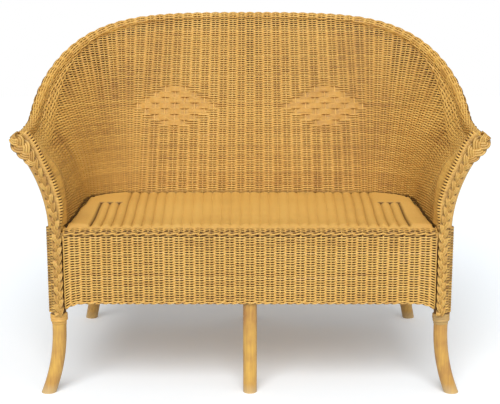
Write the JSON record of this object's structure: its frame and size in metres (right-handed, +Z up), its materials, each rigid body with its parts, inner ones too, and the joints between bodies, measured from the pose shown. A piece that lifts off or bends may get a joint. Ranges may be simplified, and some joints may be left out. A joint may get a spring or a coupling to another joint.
{
  "type": "wicker settee",
  "caption": "Two-seat settee woven in honey-coloured cane on a bent rattan pole frame, with flared arms, a rounded back with woven diamonds, a ribbed seat and splayed legs.",
  "frame": {"origin": "on the floor, under the middle of the settee's box", "axes": "+Z up, the settee faces -Y, +X to the right of someone who looks at its front"},
  "size_m": [1.1966, 0.7074, 0.9258],
  "materials": {
    "rattan_pole": "clear lacquered rattan pole",
    "woven_cane": "lacquered pulp cane, plain weave",
    "seat_cane": "lacquered pulp cane, ribbed weave",
    "plaited_cane": "lacquered cane, plaited",
    "leg_binding": "cane binding, worn",
    "screw_steel": "zinc plated"
  },
  "bodies": {
    "root": {"apron_hem": "plaited_cane", "apron_rail_left": "rattan_pole", "apron_rail_right": "rattan_pole", "arm_braid_left": "plaited_cane", "arm_braid_right": "plaited_cane", "back_and_arm_weave": "woven_cane", "back_upright_centre": "rattan_pole", "back_upright_left": "rattan_pole", "back_upright_right": "rattan_pole", "frame_screws": "screw_steel", "front_apron": "woven_cane", "front_brace_left": "rattan_pole", "front_brace_right": "rattan_pole", "front_centre_leg": "rattan_pole", "front_post_left": "rattan_pole", "front_post_right": "rattan_pole", "leg_collar_left": "leg_binding", "leg_collar_right": "leg_binding", "lower_hoop": "rattan_pole", "post_wrap_left": "woven_cane", "post_wrap_right": "woven_cane", "rear_centre_leg": "rattan_pole", "rear_leg_left": "rattan_pole", "rear_leg_right": "rattan_pole", "rim_border": "woven_cane", "seat_bearer_far_left": "rattan_pole", "seat_bearer_far_right": "rattan_pole", "seat_bearer_left": "rattan_pole", "seat_bearer_mid_left": "rattan_pole", "seat_bearer_mid_right": "rattan_pole", "seat_bearer_right": "rattan_pole", "seat_deck": "seat_cane", "seat_edge_wale": "plaited_cane", "seat_front_rail": "rattan_pole", "seat_front_roll": "seat_cane", "seat_hoop": "rattan_pole", "skirt_border": "plaited_cane", "skirt_hem": "plaited_cane", "skirt_weave": "woven_cane", "top_rail": "rattan_pole"}
  },
  "joints": []
}
